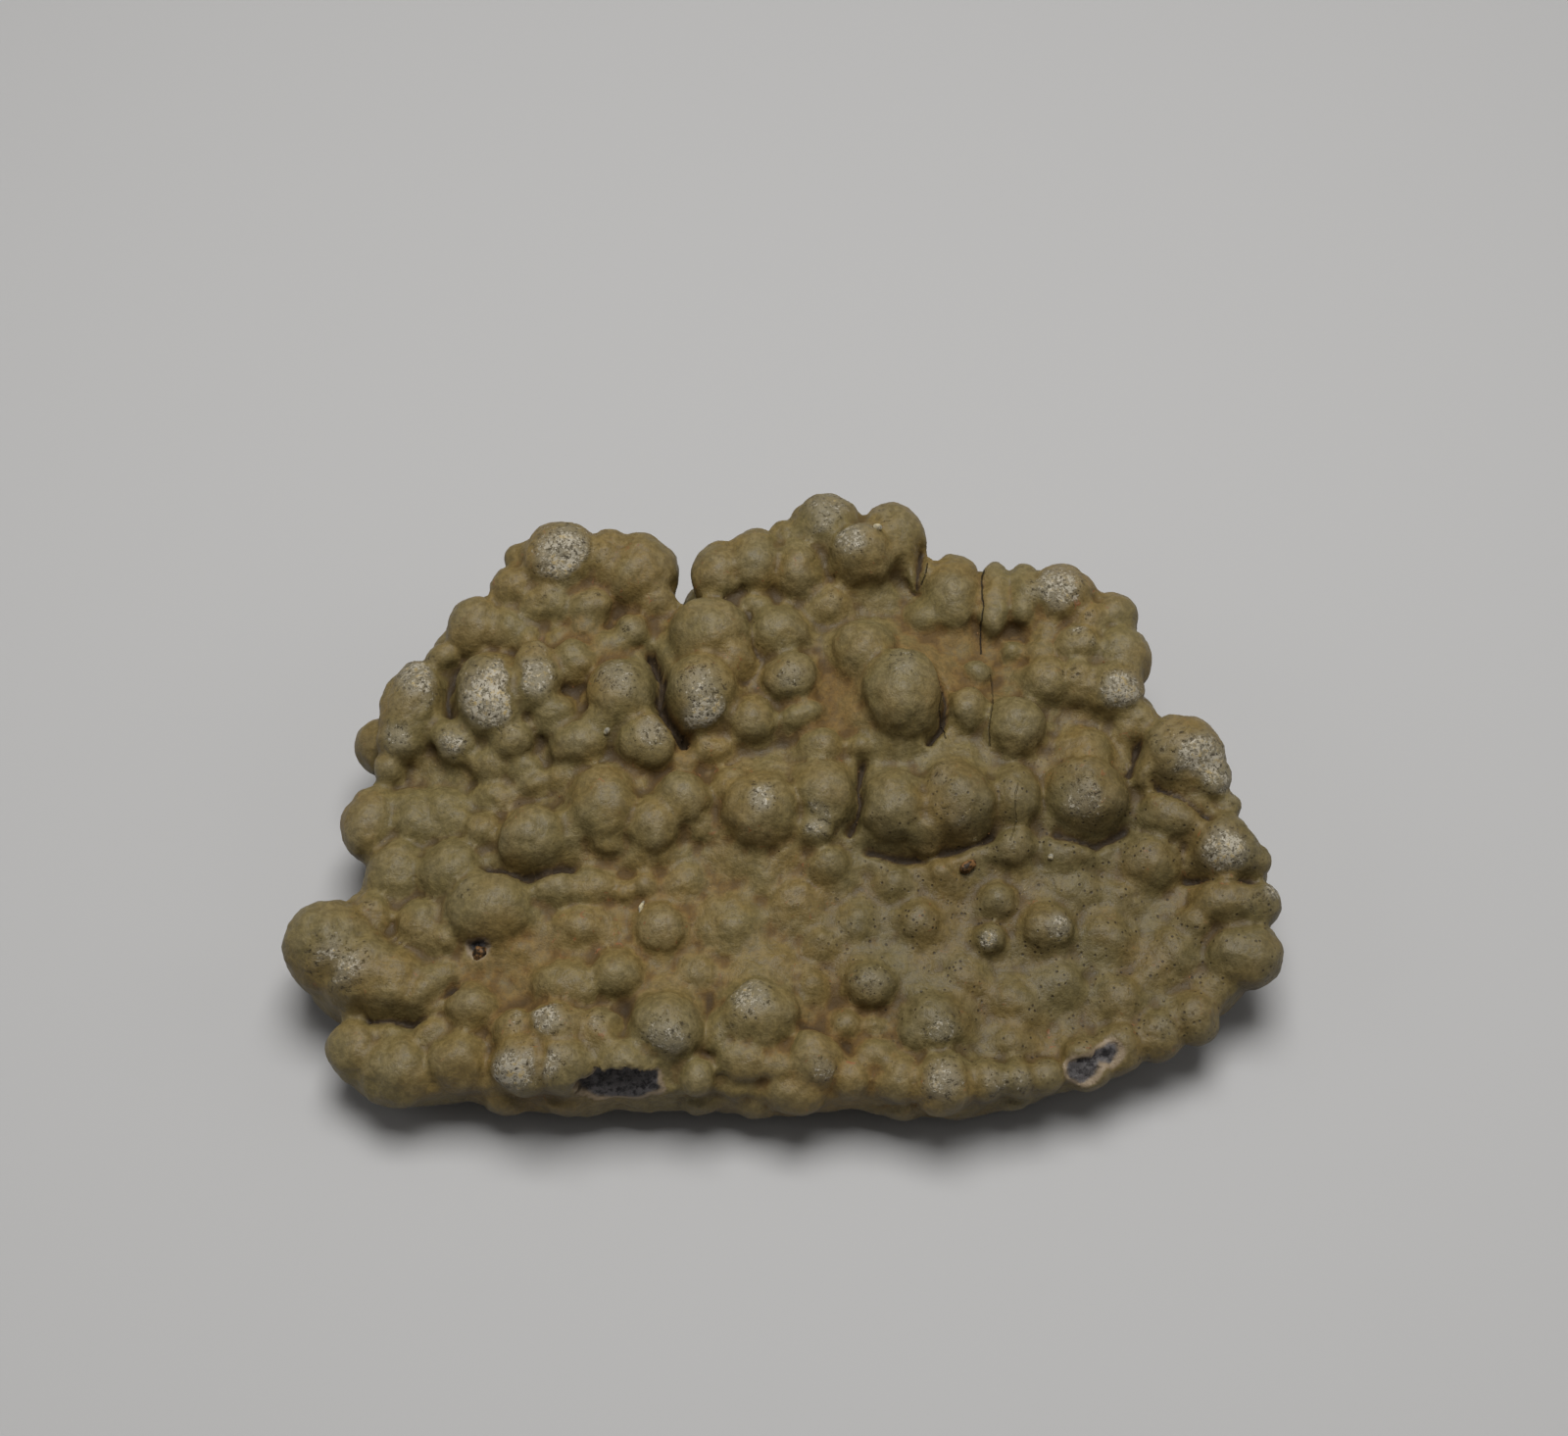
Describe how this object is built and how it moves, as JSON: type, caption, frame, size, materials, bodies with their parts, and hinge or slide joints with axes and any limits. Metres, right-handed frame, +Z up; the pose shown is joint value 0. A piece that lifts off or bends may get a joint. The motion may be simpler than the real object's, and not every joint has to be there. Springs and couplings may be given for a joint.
{
  "type": "botryoidal schalenblende sphalerite specimen",
  "caption": "Hand specimen of schalenblende sphalerite: a low crust of grown-together rounded knobs, high at the back, with a shallow basin in front, on a broken base.",
  "frame": {"origin": "on the flat face that the stone rests on, below the middle of the crust", "axes": "+X along the length, from the big left lobe to the low right end; +Y from the low front edge to the high back edge; +Z up"},
  "size_m": [0.0779, 0.0529, 0.0178],
  "materials": {
    "stone": "satin olive-grey mineral skin, greyer and scuffed pale on the knob tops, ochre dust in the creases"
  },
  "bodies": {
    "root": {"botryoidal_crust": "stone"}
  },
  "joints": []
}
